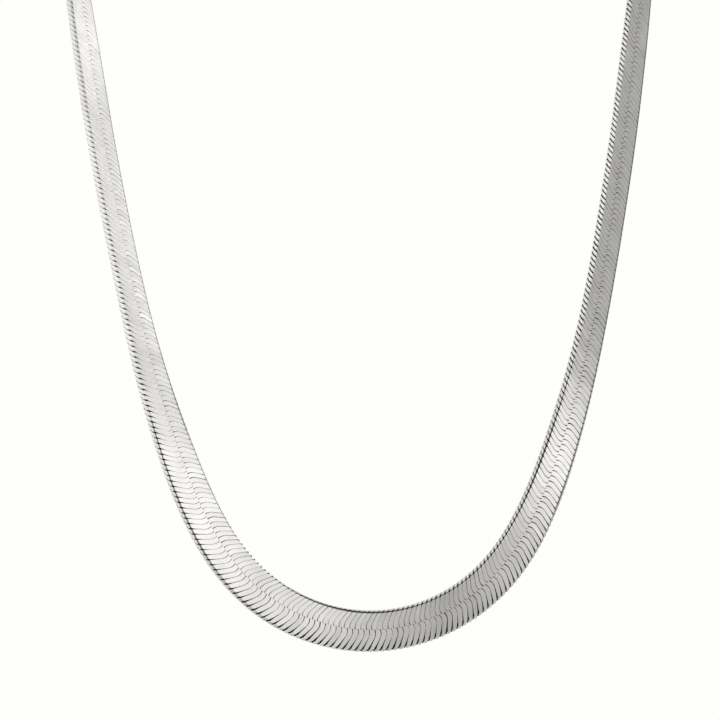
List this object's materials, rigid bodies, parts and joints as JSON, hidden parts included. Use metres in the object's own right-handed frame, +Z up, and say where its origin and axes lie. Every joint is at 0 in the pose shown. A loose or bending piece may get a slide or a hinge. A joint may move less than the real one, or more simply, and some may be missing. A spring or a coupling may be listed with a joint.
{
  "type": "herringbone chain necklace",
  "caption": "Flat herringbone chain necklace in silver, a woven band of slanted slats that hangs in a U from the nape, with end caps and a clasp.",
  "frame": {"origin": "the point at the nape where the rings of the clasp touch the neck", "axes": "+Z up, +Y back from the neck, -Y the front where the chain hangs, +X to the right of someone who looks at the front"},
  "size_m": [0.1166, 0.0905, 0.1586],
  "materials": {
    "silver_band": "flattened and polished silver, with fine drawn lines along each slat and soft wear at the edges",
    "silver_fittings": "polished silver with faint handling marks"
  },
  "bodies": {
    "root": {"herringbone_band": "silver_band", "end_cap_left": "silver_fittings", "end_cap_right": "silver_fittings", "clasp": "silver_fittings"}
  },
  "joints": []
}
